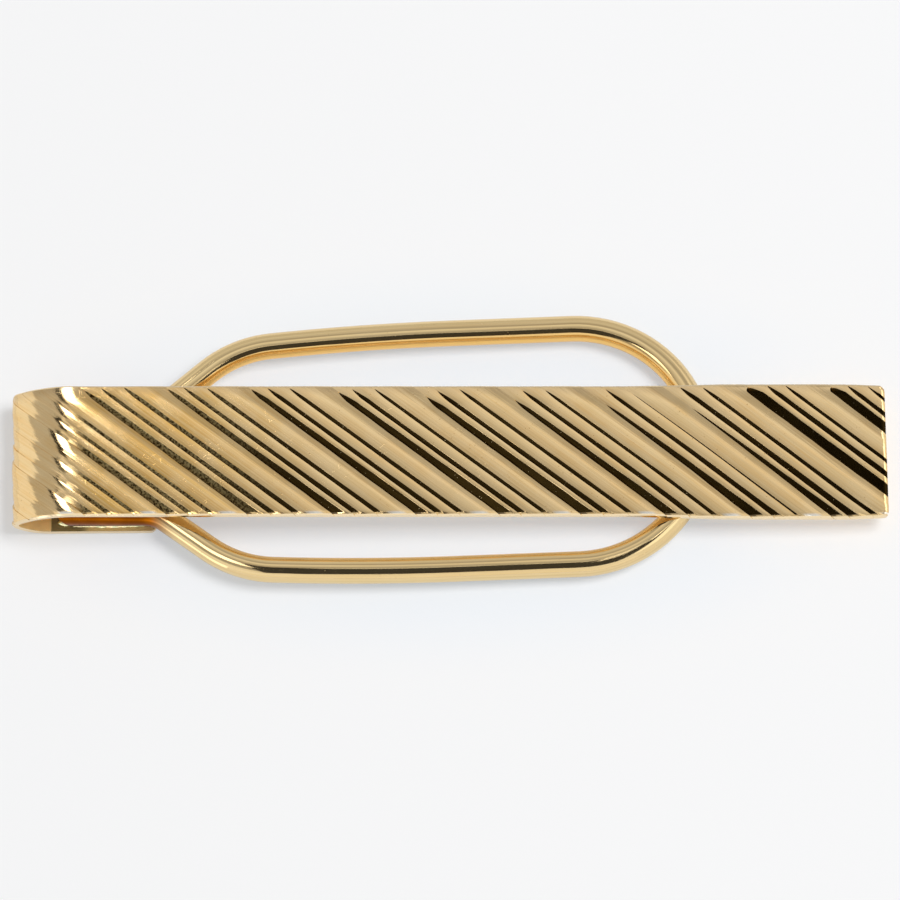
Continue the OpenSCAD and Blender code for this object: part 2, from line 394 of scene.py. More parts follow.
def flareTip(points):
    begin, full, wider = strip["tipFlare"]
    pullLength, pullShare = strip["tipPull"]
    end = strip["tipX"]
    x, y, z = points.T
    flared = smoothStep(begin, full, x)
    share = flared * (1 - pullShare * smoothStep(end - pullLength, end, x))
    further = np.where(y < 0, edges["lowerExtra"] * mm * flared, 0)
    return np.stack([x, y * (1 + (wider * share + further) / strip["halfWidth"]), z], axis=1)


def roundCorners(points):
    half, radius = strip["halfWidth"], strip["cornerRadius"]
    x, y = points[:, 0].copy(), points[:, 1].copy()
    for endSide in (1, -1):
        for side in (1, -1):
            if endSide == 1:
                endX = strip["tipX"] - (y + half) * math.tan(strip["tipSkew"])
            else:
                endX = np.full(len(y), flatStart)
            a = radius - endSide * (endX - x)
            b = radius - (half - side * y)
            here = (a > 0) & (b > 0)
            scale = np.maximum(a, b) / np.maximum(np.hypot(a, b), 1e-9)
            x = np.where(here, endX - endSide * (radius - a * scale), x)
            y = np.where(here, side * (half - radius + b * scale), y)
    return np.stack([x, y, points[:, 2]], axis=1)


def rollFold(points):
    sheet = strip["sheet"]
    x, y, z = points.T
    run = strip["foldX"] - x            # distance past the start of the fold, on the outer face
    inward = sheet - z
    outX, outZ = x.copy(), z.copy()
    placeX, placeZ, heading, done = strip["foldX"], sheet, math.pi, 0.0
    for (radius, turn), length in zip(bends, bendLengths):
        centreX = placeX - radius * math.sin(heading)
        centreZ = placeZ + radius * math.cos(heading)
        here = (run > done) & (run <= done + length)
        angle = heading + (run - done) / radius
        outX = np.where(here, centreX + (radius - inward) * np.sin(angle), outX)
        outZ = np.where(here, centreZ - (radius - inward) * np.cos(angle), outZ)
        heading += turn
        placeX = centreX + radius * math.sin(heading)
        placeZ = centreZ - radius * math.cos(heading)
        done += length
    beyond = run > done
    step = run - done
    outX = np.where(beyond, placeX + step * math.cos(heading) - inward * math.sin(heading), outX)
    outZ = np.where(beyond, placeZ + step * math.sin(heading) + inward * math.cos(heading), outZ)
    return np.stack([outX, y, outZ], axis=1), (placeX, placeZ, heading)


def buildStrip():
    piece, lines = cutBlank()
    ribbed, marks = shapeRibs(readPoints(piece), lines)
    squared = roundCorners(ribbed)
    keepPlace(piece, "flatPlace", squared)
    points = flareTip(squared)
    for name, shares in marks.items():
        mark = piece.data.attributes.new(name, "FLOAT", "POINT")
        mark.data.foreach_set("value", shares.astype(np.float32))
    rolled, tongueStart = rollFold(points)
    writePoints(piece, rolled)
    smoothByAngle(piece, strip["smoothUnder"])
    return piece, tongueStart


ribbedStrip, tongueStart = buildStrip()
print("strip:", len(ribbedStrip.data.vertices), "points,", len(ribbedStrip.data.polygons), "faces; tongue starts at",
      [round(v / mm, 4) for v in tongueStart[:2]])


# The wire, drawn flat on the tongue and then leant with it

wire = {
    "radius": 0.85 * mm,
    "sides": 40,
    "legInset": 0.1 * mm,
    "legSetback": 0.95 * mm,
    "legSlant": 0.92,       # the legs are cut off at a slant, longest on top
    "endRound": 0.25 * mm,
    "forkSetback": 0.8 * mm,
    "flankTurn": math.radians(38.5),
    "forkRadius": 2.5 * mm,
    "elbowRadius": 7.5 * mm,
    "bowRadius": 170 * mm,
    "bowTurn": math.radians(4),
    "loopWidth": 16.3 * mm,
    "loopReach": 35.4 * mm,
    "skew": math.radians(1.9),
    "bendStep": math.radians(4),
    "leastSteps": 10,       # in one bend
    "endSteps": ((0.1, 0.96), (0.1, 0.84), (0.05, 0.68)),       # a leg's rounded end: reach in mm, share of its size
    "smoothUnder": 40,
    "readStep": 0.1 * mm,       # between the places along the wire that its pattern is read from
}
legY = strip["halfWidth"] - wire["legInset"] - wire["radius"]       # a leg's middle line


def afterBend(pose, radius, turn):
    x, y, heading = pose
    r = math.copysign(radius, turn)
    return (x + r * (math.sin(heading + turn) - math.sin(heading)),
            y - r * (math.cos(heading + turn) - math.cos(heading)), heading + turn)


def sideSteps(side):
    skew, flank, bow = wire["skew"], wire["flankTurn"], wire["bowTurn"]
    farR = wire["loopWidth"] / 2
    forkTurn = flank + side * skew
    x, y, _ = afterBend((-wire["forkSetback"], side * legY, 0), wire["forkRadius"], side * forkTurn)
    along = x * math.cos(skew) + y * math.sin(skew)
    across = side * (y * math.cos(skew) - x * math.sin(skew))
    elbowRise = wire["elbowRadius"] * (math.cos(bow) - math.cos(flank))
    elbowRun = wire["elbowRadius"] * (math.sin(flank) - math.sin(bow))
    bowRise = wire["bowRadius"] * (1 - math.cos(bow))
    bowRun = wire["bowRadius"] * math.sin(bow)
    flankLength = (farR - across - elbowRise - bowRise) / math.sin(flank)
    straight = wire["loopReach"] - farR - along - flankLength * math.cos(flank) - elbowRun - bowRun
    return [
        (wire["forkRadius"], side * forkTurn),
        (flankLength, 0),
        (wire["elbowRadius"], side * (bow - flank)),
        (wire["bowRadius"], -side * bow),
        (straight, 0),
    ]


def wireSteps():
    leg = strip["tongueLength"] - wire["forkSetback"] - wire["legSetback"] - wire["endRound"]
    back = [(size, -turn) for size, turn in reversed(sideSteps(-1))]
    return [(leg, 0)] + sideSteps(1) + [(wire["loopWidth"] / 2, -math.pi)] + back + [(leg, 0)]


def alongWire(points, start):
    x, y, heading = start
    samples, done = [], 0.0
    for size, turn in wireSteps():
        length = size if turn == 0 else abs(size * turn)
        count = math.ceil(length / wire["readStep"])
        for part in (n / count for n in range(count)):
            if turn == 0:
                here = (x + size * part * math.cos(heading), y + size * part * math.sin(heading), heading)
            else:
                here = afterBend((x, y, heading), size, turn * part)
            samples.append((done + length * part, *here))
        if turn == 0:
            x, y = x + size * math.cos(heading), y + size * math.sin(heading)
        else:
            x, y, heading = afterBend((x, y, heading), size, turn)
        done += length
    samples = np.array(samples)
    nearest = np.argmin((points[:, :1] - samples[:, 1]) ** 2 + (points[:, 1:2] - samples[:, 2]) ** 2, axis=1)
    run, px, py, turned = samples[nearest].T
    dx, dy = points[:, 0] - px, points[:, 1] - py
    ahead = dx * np.cos(turned) + dy * np.sin(turned)
    aside = dy * np.cos(turned) - dx * np.sin(turned)
    return np.stack([run + ahead, aside, points[:, 2] - wire["radius"]], axis=1)


def roundEnd(centre, direction):
    size, place = 1.0, Vector(centre)
    for reach, share in wire["endSteps"]:
        move = Vector(direction) * reach * mm
        place = place + move
        bpy.ops.mesh.extrude_region_move(TRANSFORM_OT_translate={"value": move})
        bpy.ops.transform.resize(value=(share / size,) * 3, center_override=place)
        size = share
    bpy.ops.mesh.edge_face_add()


def buildWire():
    radius = wire["radius"]
    startX = wire["legSetback"] + wire["endRound"]
    deselectAll()
    bpy.ops.mesh.primitive_circle_add(vertices=wire["sides"], radius=radius, fill_type="NOTHING",
                                      location=(startX, legY, radius), rotation=(0, math.pi / 2, 0))
    applyPlace(bpy.context.object)
    piece = startPiece("bent_wire")
    bpy.ops.mesh.select_all(action="SELECT")
    roundEnd((startX, legY, radius), (-1, 0, 0))
    bpy.ops.mesh.select_all(action="DESELECT")
    bpy.ops.object.mode_set(mode="OBJECT")
    for vertex in piece.data.vertices:
        vertex.select = vertex.co.x > startX - 1e-6
    bpy.ops.object.mode_set(mode="EDIT")
    bpy.ops.mesh.select_mode(type="VERT")
    pose = (startX, legY, 0.0)
    for size, turn in wireSteps():
        x, y, heading = pose
        if turn == 0:
            move = (size * math.cos(heading), size * math.sin(heading), 0)
            bpy.ops.mesh.extrude_region_move(TRANSFORM_OT_translate={"value": move})
            pose = (x + move[0], y + move[1], heading)
        else:
            r = math.copysign(size, turn)
            centre = (x - r * math.sin(heading), y + r * math.cos(heading), radius)
            count = max(wire["leastSteps"], math.ceil(abs(turn) / wire["bendStep"]))
            bpy.ops.mesh.spin(steps=count, angle=-turn, center=centre, axis=(0, 0, 1))
            pose = afterBend(pose, size, turn)
    roundEnd((pose[0], pose[1], radius), (-1, 0, 0))
    bpy.ops.mesh.select_all(action="SELECT")
    bpy.ops.mesh.remove_doubles(threshold=1e-6)
    bpy.ops.mesh.normals_make_consistent(inside=False)
    bpy.ops.object.mode_set(mode="OBJECT")
    points = readPoints(piece)
    keepPlace(piece, "wirePlace", alongWire(points, (startX, legY, 0.0)))
    atEnd = points[:, 0] < startX + 1e-6
    points[:, 0] -= np.where(atEnd, wire["legSlant"] * (points[:, 2] - radius), 0)
    writePoints(piece, points)
    bpy.ops.object.mode_set(mode="EDIT")
    bpy.ops.mesh.select_all(action="SELECT")
    leanOnTongue()
    bpy.ops.object.mode_set(mode="OBJECT")
    smoothByAngle(piece, wire["smoothUnder"])
    return piece, pose


def leanOnTongue():
    x, z, heading = tongueStart
    sheet = strip["sheet"]
    inner = (x - sheet * math.sin(heading), 0, z + sheet * math.cos(heading))
    bpy.ops.transform.rotate(value=strip["lean"], orient_axis="Y", center_override=(0, 0, 0))
    bpy.ops.transform.translate(value=inner)


bentWire, wireEnd = buildWire()
print("wire:", len(bentWire.data.vertices), "points; ends at", [round(v / mm, 3) for v in wireEnd[:2]])


# Solder: four uneven beads in the corners between the legs and the tongue, and a drop beside each leg's end

solder = {
    "length": 4.6 * mm,
    "offset": 0.6 * mm,     # from the middle of the leg
    "height": 0.13 * mm,
    "radius": 0.11 * mm,
    "steps": 26,
    "swell": 1.5,       # of the bead's middle
    "ends": (0.04, 0.97, 0.35),     # where its ends' easing is held, and the curve of that
    "uneven": 0.22,
    "sides": 12,
    "blobRadius": 0.5 * mm,     # the drops
    "blobSegments": 32,
    "blobShape": (1, 0.52, 0.62),
    "blobPlace": (0.95 * mm, 3.9 * mm, 0.03 * mm),
    "seed": 5,
    "smoothUnder": 60,
}


def buildSolder():
    rng = np.random.default_rng(solder["seed"])
    forkX = strip["tongueLength"] - wire["forkSetback"]
    step = (solder["length"] / solder["steps"], 0, 0)
    first, last, curve = solder["ends"]
    beads = []
    for leg in (-1, 1):
        for side in (-1, 1):
            deselectAll()
            corner = (forkX - solder["length"], leg * legY + side * solder["offset"], solder["height"])
            bpy.ops.mesh.primitive_circle_add(vertices=solder["sides"], radius=solder["radius"], fill_type="NGON",
                                              location=corner, rotation=(0, math.pi / 2, 0))
            applyPlace(bpy.context.object)
            bead = startPiece("solder_bead")
            bpy.ops.mesh.select_all(action="SELECT")
            place, size = Vector(corner), 1.0
            for n in range(solder["steps"]):
                share = (n + 1) / solder["steps"]
                wanted = solder["swell"] * math.sin(math.pi * min(max(share, first), last)) ** curve
                wanted *= 1 + solder["uneven"] * rng.uniform(-1, 1)
                place = place + Vector(step)
                bpy.ops.mesh.extrude_region_move(TRANSFORM_OT_translate={"value": step})
                bpy.ops.transform.resize(value=(1, wanted / size, wanted / size), center_override=place)
                size = wanted
            bpy.ops.mesh.select_all(action="SELECT")
            bpy.ops.mesh.normals_make_consistent(inside=False)
            bpy.ops.mesh.select_all(action="SELECT")
            leanOnTongue()
            bpy.ops.object.mode_set(mode="OBJECT")
            beads.append(bead)
    blobX, blobY, blobZ = solder["blobPlace"]
    for leg in (-1, 1):
        deselectAll()
        segments = solder["blobSegments"]
        bpy.ops.mesh.primitive_uv_sphere_add(segments=segments, ring_count=segments // 2, radius=solder["blobRadius"])
        blob = startPiece("solder_blob")
        bpy.ops.mesh.select_all(action="SELECT")
        bpy.ops.transform.resize(value=solder["blobShape"], center_override=(0, 0, 0))
        bpy.ops.transform.translate(value=(blobX, leg * blobY, blobZ))
        leanOnTongue()
        bpy.ops.object.mode_set(mode="OBJECT")
        beads.append(blob)
    deselectAll()
    for bead in beads:
        bead.select_set(True)
    bpy.context.view_layer.objects.active = beads[0]
    bpy.ops.object.join()
    piece = bpy.context.object
    piece.name = "solder_beads"
    smoothByAngle(piece, solder["smoothUnder"])
    return piece


solderBeads = buildSolder()
print("solder:", len(solderBeads.data.vertices), "points")


# Materials

def addNode(tree, kind, **values):
    node = tree.nodes.new(kind)
    for name, value in values.items():
        if name in node.inputs:
            node.inputs[name].default_value = value
        else:
            setattr(node, name, value)
    return node


def setInput(tree, socket, value):
    if isinstance(value, bpy.types.NodeSocket):
        tree.links.new(value, socket)
    else:
        socket.default_value = value


def maths(tree, operation, first, second=0.0):
    node = addNode(tree, "ShaderNodeMath", operation=operation)
    setInput(tree, node.inputs[0], first)
    setInput(tree, node.inputs[1], second)
    return node.outputs[0]


def spread(tree, value, low, high, toLow=0.0, toHigh=1.0):
    node = addNode(tree, "ShaderNodeMapRange", interpolation_type="SMOOTHSTEP")
    setInput(tree, node.inputs["Value"], value)
    for name, number in zip(("From Min", "From Max", "To Min", "To Max"), (low, high, toLow, toHigh)):
        setInput(tree, node.inputs[name], number)
    return node.outputs["Result"]


def mixColour(tree, share, first, second):
    node = addNode(tree, "ShaderNodeMix", data_type="RGBA")
    for socket, value in ((node.inputs[0], share), (node.inputs[6], first), (node.inputs[7], second)):
        setInput(tree, socket, (*value, 1) if isinstance(value, tuple) else value)
    return node.outputs[2]


def tint(tree, colour, mask, share, other):
    return mixColour(tree, maths(tree, "MULTIPLY", mask, share), colour, other)


def addUp(tree, total, masks):
    for mask, amount in masks:
        total = maths(tree, "ADD", total, maths(tree, "MULTIPLY", mask, amount))
    return total


def splitPlace(tree, place):
    parts = addNode(tree, "ShaderNodeSeparateXYZ")
    tree.links.new(place, parts.inputs[0])
    return parts.outputs


def placeFrom(tree, attribute=None):
    if attribute:
        return addNode(tree, "ShaderNodeAttribute", attribute_name=attribute).outputs["Vector"]
    coords = addNode(tree, "ShaderNodeTexCoord")
    scaled = addNode(tree, "ShaderNodeVectorMath", operation="SCALE")
    tree.links.new(coords.outputs["Object"], scaled.inputs[0])
    scaled.inputs["Scale"].default_value = 1 / mm
    return scaled.outputs[0]


def startGroup(name, numbers, output):
    group = bpy.data.node_groups.new(name, "ShaderNodeTree")
    group.interface.new_socket("Place", in_out="INPUT", socket_type="NodeSocketVector")
    for title, number in numbers.items():
        group.interface.new_socket(title, in_out="INPUT", socket_type="NodeSocketFloat").default_value = number
    group.interface.new_socket(output, in_out="OUTPUT", socket_type="NodeSocketFloat")
    return group, addNode(group, "NodeGroupInput").outputs, addNode(group, "NodeGroupOutput").inputs


def stretchedNoise(tree, place, along, across, detail):
    sizes = addNode(tree, "ShaderNodeCombineXYZ")
    for socket, value in zip(sizes.inputs, (along, across, across)):
        setInput(tree, socket, value)
    stretched = addNode(tree, "ShaderNodeVectorMath", operation="MULTIPLY")
    tree.links.new(place, stretched.inputs[0])
    tree.links.new(sizes.outputs[0], stretched.inputs[1])
    noise = addNode(tree, "ShaderNodeTexNoise", Scale=1.0, Detail=detail, Roughness=0.6)
    tree.links.new(stretched.outputs[0], noise.inputs["Vector"])
    return noise.outputs[0]


def drawnLinesGroup():
    group, inputs, outputs = startGroup("drawn_lines", {"Along": 0.1, "Across": 5.0}, "Lines")
    noise = stretchedNoise(group, inputs["Place"], inputs["Along"], inputs["Across"], 3.0)
    group.links.new(spread(group, noise, 0.36, 0.64), outputs["Lines"])
    return group


def scratchesGroup():
    group, inputs, outputs = startGroup("fine_scratches", {"Size": 1.0, "Cover": 0.5}, "Scratches")
    marks = 0.0
    for turn in (0.35, -0.6, 1.45):     # the ways that the scratches run, in radians
        turned = addNode(group, "ShaderNodeVectorRotate", rotation_type="Z_AXIS", Angle=turn)
        group.links.new(inputs["Place"], turned.inputs["Vector"])
        fine = stretchedNoise(group, turned.outputs[0], maths(group, "MULTIPLY", inputs["Size"], 0.4),
                              maths(group, "MULTIPLY", inputs["Size"], 14.0), 1.0)
        marks = maths(group, "MAXIMUM", marks, spread(group, fine, 0.69, 0.73))
    patchy = stretchedNoise(group, inputs["Place"], 0.6, 0.6, 2.0)
    cover = maths(group, "SUBTRACT", 1.0, inputs["Cover"])
    where = spread(group, patchy, maths(group, "SUBTRACT", cover, 0.12), maths(group, "ADD", cover, 0.12))
    group.links.new(maths(group, "MULTIPLY", marks, where), outputs["Scratches"])
    return group


def specksGroup():
    group, inputs, outputs = startGroup("small_specks", {"Size": 3.0, "Cover": 0.2}, "Specks")
    cells = addNode(group, "ShaderNodeTexVoronoi")
    group.links.new(inputs["Place"], cells.inputs["Vector"])
    group.links.new(inputs["Size"], cells.inputs["Scale"])
    dot = spread(group, cells.outputs["Distance"], inputs["Cover"], maths(group, "MULTIPLY", inputs["Cover"], 0.5))
    patchy = stretchedNoise(group, inputs["Place"], 1.3, 1.3, 2.0)
    group.links.new(maths(group, "MULTIPLY", dot, spread(group, patchy, 0.48, 0.6)), outputs["Specks"])
    return group


def toneDriftGroup():
    group, inputs, outputs = startGroup("tone_drift", {"Size": 0.5}, "Tone")
    noise = stretchedNoise(group, inputs["Place"], inputs["Size"], inputs["Size"], 2.0)
    group.links.new(spread(group, noise, 0.35, 0.65), outputs["Tone"])
    return group


effects = {
    "Lines": drawnLinesGroup(),
    "Scratches": scratchesGroup(),
    "Specks": specksGroup(),
    "Tone": toneDriftGroup(),
}


def effect(tree, name, place, **numbers):
    node = addNode(tree, "ShaderNodeGroup", node_tree=effects[name])
    tree.links.new(place, node.inputs["Place"])
    for title, number in numbers.items():
        node.inputs[title].default_value = number
    return node.outputs[name]


def startGold(name):
    material = bpy.data.materials.new(name)
    material.use_nodes = True
    tree = material.node_tree
    shader = tree.nodes["Principled BSDF"]
    shader.inputs["Metallic"].default_value = 1
    return material, tree, shader


def finish(tree, shader, look, colour, roughMasks, height):
    tree.links.new(colour, shader.inputs["Base Color"])
    tree.links.new(addUp(tree, look["roughness"], roughMasks), shader.inputs["Roughness"])
    bump = addNode(tree, "ShaderNodeBump", Strength=1.0, Distance=look["bump"])
    tree.links.new(height, bump.inputs["Height"])
    tree.links.new(bump.outputs["Normal"], shader.inputs["Normal"])


stripLook = {
    "gold": (0.82, 0.59, 0.29),
    "leftGold": (0.76, 0.47, 0.135),
    "leftFrom": (-20, -7),          # all and none of it, along the bar in mm
    "foldFrom": (-25.6, -22.5),     # the fold is as pale as the right half
    "streak": (0.82, 0.49, 0.17),
    "streakShare": 0.4,
    "pale": (0.86, 0.66, 0.38),
    "paleShare": 0.35,
    "fine": (0.93, 0.71, 0.4),
    "fineShare": 0.35,
    "upper": (0.6, 0.44, 0.25),     # along the upper edge
    "upperFrom": (0.8, 0.15),       # none and all of it, below that edge
    "upperShare": 0.45,
    "glint": (1.0, 0.96, 0.86),     # a painted highlight where the broad ridges meet the lower edge
    "speck": (0.42, 0.22, 0.06),
    "speckShare": 0.55,
    "grooveShade": (0.027, 0.016, 0.004),        # painted shade in the grooves, standing in for the dark that they reflect
    "grooveShadeMask": (0.15, 0.75),
    "grooveShadeFrom": (-24.9, -23.6),
    "fleck": (0.5, 0.4, 0.22),
    "tarnishAndShade": (0.26, 0.2, 0.09),       # in the left grooves: a lighter painted shade, with tarnish in patches
    "tarnishAndShadeFrom": (-19, -10),
    "edge": (0.87, 0.7, 0.45),      # the sheet's cut sides
    "edgeFrom": (0.1, 0.08),
    # the inside faces: rougher, and painted paler, standing in for light reflected into the fold
    "inside": (1.0, 0.8, 0.44),
    "insideFrom": (0.003, 0.012),
    "tongueShade": (0.26, 0.2, 0.08),     # painted shade, on the tongue's inner face under the fold
    "tongueShadeShare": 0.85,
    "tongueShadeFrom": 0.08,
    "tongueShadeFade": (2.6, 1.9, 0.3),       # fades to the last share between these distances
    "roughness": 0.085,
    "bump": 2e-6,
}


def stripMaterial():
    look = stripLook
    material, tree, shader = startGold("ribbed_gold")
    place = placeFrom(tree, "flatPlace")
    x, y, z = splitPlace(tree, place)
    turned = addNode(tree, "ShaderNodeVectorRotate", rotation_type="Z_AXIS", Angle=ribs["angle"])
    tree.links.new(place, turned.inputs["Vector"])
    ribPlace = turned.outputs[0]
    groove = addNode(tree, "ShaderNodeAttribute", attribute_name="inGroove").outputs["Fac"]
    paintedEdgeGlint = addNode(tree, "ShaderNodeAttribute", attribute_name="paintedEdgeGlint").outputs["Fac"]
    lines = effect(tree, "Lines", ribPlace, Along=0.12, Across=3.2)
    fineLines = effect(tree, "Lines", ribPlace, Along=0.1, Across=9.0)
    scratches = effect(tree, "Scratches", place, Size=1.0, Cover=0.42)
    specks = effect(tree, "Specks", place, Size=3.2, Cover=0.16)
    flecks = effect(tree, "Specks", place, Size=4.5, Cover=0.13)
    tone = effect(tree, "Tone", ribPlace, Size=0.45)
    grain = effect(tree, "Tone", place, Size=6.5)

    leftShare = maths(tree, "MULTIPLY", spread(tree, x, *look["leftFrom"], 1.0, 0.0),
                      spread(tree, x, *look["foldFrom"]))
    colour = mixColour(tree, leftShare, look["gold"], look["leftGold"])
    colour = tint(tree, colour, lines, look["streakShare"], look["streak"])
    colour = tint(tree, colour, tone, look["paleShare"], look["pale"])
    colour = tint(tree, colour, fineLines, look["fineShare"], look["fine"])
    half = strip["halfWidth"] / mm
    nearUpper = spread(tree, y, *[half - d for d in look["upperFrom"]], 0.0, look["upperShare"])
    colour = mixColour(tree, nearUpper, colour, look["upper"])
    # A painted highlight where the broad ridges meet the lower edge
    colour = mixColour(tree, paintedEdgeGlint, colour, look["glint"])
    colour = tint(tree, colour, specks, look["speckShare"], look["speck"])

    # Painted shade in the grooves, standing in for the dark that they reflect; on the left it is lighter, with
    # tarnish in patches
    groove = maths(tree, "MULTIPLY", spread(tree, groove, *look["grooveShadeMask"]),
                   spread(tree, x, *look["grooveShadeFrom"]))
    leftGrooves = spread(tree, x, *look["tarnishAndShadeFrom"], 1.0, 0.0)
    grooveShade = tint(tree, look["grooveShade"], leftGrooves, grain, look["tarnishAndShade"])
    grooveShade = mixColour(tree, flecks, grooveShade, look["fleck"])
    colour = mixColour(tree, groove, colour, grooveShade)
    tarnishedAndShaded = maths(tree, "MULTIPLY", leftGrooves, groove)
    patches = maths(tree, "MULTIPLY", tarnishedAndShaded, grain)

    aside = maths(tree, "ABSOLUTE", y)
    colour = mixColour(tree, spread(tree, aside, *[half - d for d in look["edgeFrom"]]), colour, look["edge"])
    # The inside faces are painted paler, standing in for light reflected into the fold
    inside = spread(tree, z, *look["insideFrom"], 1.0, 0.0)
    colour = mixColour(tree, inside, colour, look["inside"])
    # Painted shade on the tongue's inner face, easing off away from the fold
    tongueFrom = (strip["foldX"] - foldLength) / mm
    faded, full, leastStain = look["tongueShadeFade"]
    tongueShaded = spread(tree, x, tongueFrom - look["tongueShadeFrom"], tongueFrom, 1.0, 0.0)
    for mask in (inside, spread(tree, x, tongueFrom - faded, tongueFrom - full, leastStain, 1.0)):
        tongueShaded = maths(tree, "MULTIPLY", tongueShaded, mask)
    colour = tint(tree, colour, tongueShaded, look["tongueShadeShare"], look["tongueShade"])

    roughMasks = ((tone, 0.05), (specks, 0.2), (scratches, 0.14), (groove, 0.15), (tarnishedAndShaded, 0.16), (inside, 0.7))
    height = addUp(tree, lines, ((fineLines, 0.4), (scratches, -0.5), (specks, -0.8), (patches, 1.2)))
    finish(tree, shader, look, colour, roughMasks, height)
    return material


wireLook = {
    "gold": (0.84, 0.64, 0.33),
    "pale": (0.86, 0.66, 0.36),
    "paleShare": 0.4,
    "inner": (0.95, 0.57, 0.16),        # painted gold-on-gold reflection, on the side that faces the middle of the loop
    "innerFrom": (-0.8, -0.2),
    "innerShare": 0.9,
    "line": (0.6, 0.36, 0.13),
    "lineShare": 0.22,
    "speckShare": 0.5,
    "legShade": (0.38, 0.11, 0.003),        # painted shade and gold-on-gold reflection on the legs, under the bar
    "legShadeDeep": (0.2, 0.05, 0.001),
    "legShadeFrom": (-19.6, -17.6),
    "roughness": 0.07,
    "bump": 0.8e-6,
}


def wireMaterial():
    look = wireLook
    material, tree, shader = startGold("wire_gold")
    place = placeFrom(tree, "wirePlace")
    lines = effect(tree, "Lines", place, Along=0.08, Across=4.5)
    scratches = effect(tree, "Scratches", place, Size=0.8, Cover=0.4)
    specks = effect(tree, "Specks", place, Size=2.6, Cover=0.13)
    tone = effect(tree, "Tone", place, Size=0.4)
    # Painted gold-on-gold reflection on the side that faces the middle of the loop
    innerShare = spread(tree, splitPlace(tree, place)["Y"], *look["innerFrom"], 1.0, 0.0)
    colour = tint(tree, look["gold"], tone, look["paleShare"], look["pale"])
    colour = tint(tree, colour, innerShare, look["innerShare"], look["inner"])
    colour = tint(tree, colour, lines, look["lineShare"], look["line"])
    colour = tint(tree, colour, specks, look["speckShare"], look["line"])
    # Painted shade and reflection on the legs under the bar, deeper in patches
    legShade = spread(tree, splitPlace(tree, placeFrom(tree))["X"], *look["legShadeFrom"], 1.0, 0.0)
    colour = mixColour(tree, legShade, colour, mixColour(tree, tone, look["legShade"], look["legShadeDeep"]))
    roughMasks = ((tone, 0.04), (specks, 0.2), (scratches, 0.1), (legShade, 0.12))
    finish(tree, shader, look, colour, roughMasks, addUp(tree, lines, ((scratches, -0.6),)))
    return material


solderLook = {
    "gold": (0.98, 0.8, 0.48),
    "green": (0.78, 0.8, 0.48),
    "dark": (0.32, 0.22, 0.08),
    "darkShare": 0.8,
    "roughness": 0.12,
    "bump": 8e-6,
}


def solderMaterial():
    look = solderLook
    material, tree, shader = startGold("solder_gold")
    place = placeFrom(tree)
    lines = effect(tree, "Lines", place, Along=2.0, Across=3.0)
    scratches = effect(tree, "Scratches", place, Size=1.5, Cover=0.4)
    specks = effect(tree, "Specks", place, Size=4.0, Cover=0.25)
    tone = effect(tree, "Tone", place, Size=1.6)
    colour = mixColour(tree, tone, look["gold"], look["green"])
    colour = tint(tree, colour, specks, look["darkShare"], look["dark"])
    finish(tree, shader, look, colour, ((lines, 0.2), (scratches, 0.1)), addUp(tree, lines, ((tone, 2.0),)))
    return material


def dress(piece, material):
    piece.data.materials.clear()
    piece.data.materials.append(material)


dress(ribbedStrip, stripMaterial())
dress(bentWire, wireMaterial())
dress(solderBeads, solderMaterial())
print("materials:", len(bpy.data.materials), "with", len(bpy.data.node_groups), "shared node groups")

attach(bentWire, "back")
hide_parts("wire_loop")
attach(solderBeads, "back")
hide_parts("solder_seams")
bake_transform(ribbedStrip)
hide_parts("front_bar", "spring_fold", "back_tongue")


# Studio: a pale floor that the clip lies on, a soft dome and lamp, and cards that only the metal sees

studio = {
    "floorColour": (0.96, 0.96, 0.96),
    "domeColour": (0.395, 0.4, 0.41),
    "backdropColour": (0.955, 0.955, 0.955),
    "lampDirection": (0.5, 0.07, 1.0),
    "lampDistance": 0.9,
    "lampSize": 0.42,
    "lampShare": 0.6,       # of a white sheet's full brightness
    "floorSize": 3,
    "nearColour": (0.76, 0.87, 1.0),        # of the floor's plain share round the clip, against the gold's glow
    "nearReach": (20, 9),       # half of its length and width, in mm
    "nearFade": (0.7, 1.7),     # from and to, in shares of that reach
    "floorGlow": 0.42,      # how much of the floor that the camera sees is plain paper, without shadow
    "cardHeight": 67 * mm,
    "cameraDistance": 1.4,
    "cameraElevation": math.radians(70),
    "cameraClip": (0.01, 10),
    "cameraSensor": 36,
    "frameWidth": 58.44 * mm,       # what the picture takes in at the clip
    "aim": (0, 0, 0.5 * mm),
}

# Cards level above the clip: name, x range and y range in mm, brightness
levelCards = [
    ("camera_card", (-13, 50), (-91, -11), 0.055),
    ("camera_side_card", (-29, -13), (-91, -5.5), 0.05),
    ("low_left_card", (-100, -29), (-70, -31), 0.42),
    ("left_glint_card", (-58, -26), (-33, -9), 2.4),
    ("upper_glint_card", (13, 24), (-9, -0.5), 1.1),
    ("side_glint_card", (14, 27), (-26, -11), 1.3),
    ("line_card", (34, 42), (-16, -9), 2.2),
    ("key_card", (-49, -30.5), (19, 45), 7.0),
    ("dark_line_card", (-64, -49), (10, 60), 0.04),
    ("brown_card", (-150, -64), (5, 90), 0.54),
    ("tip_card", (56, 110), (0, 60), 2.2),
    ("lower_right_card", (56, 100), (-70, -22), 1.3),
]

# Cards that stand upright beside the clip: name, middle, turn, width, height, brightness
uprightCards = [
    ("front_card", (0, -0.13, 0.035), (math.pi / 2, 0, 0), 0.2, 0.06, 1.0),
    ("back_card", (0, 0.14, 0.04), (math.pi / 2, 0, 0), 0.5, 0.08, 0.66),
    ("fold_card", (-0.027, -0.016, -0.0008), (math.pi / 2, 0, 0), 0.014, 0.004, 1.7),
    ("side_card", (-0.25, 0.05, 0.08), (0, math.pi / 2, 0), 0.16, 0.4, 1.0),
]

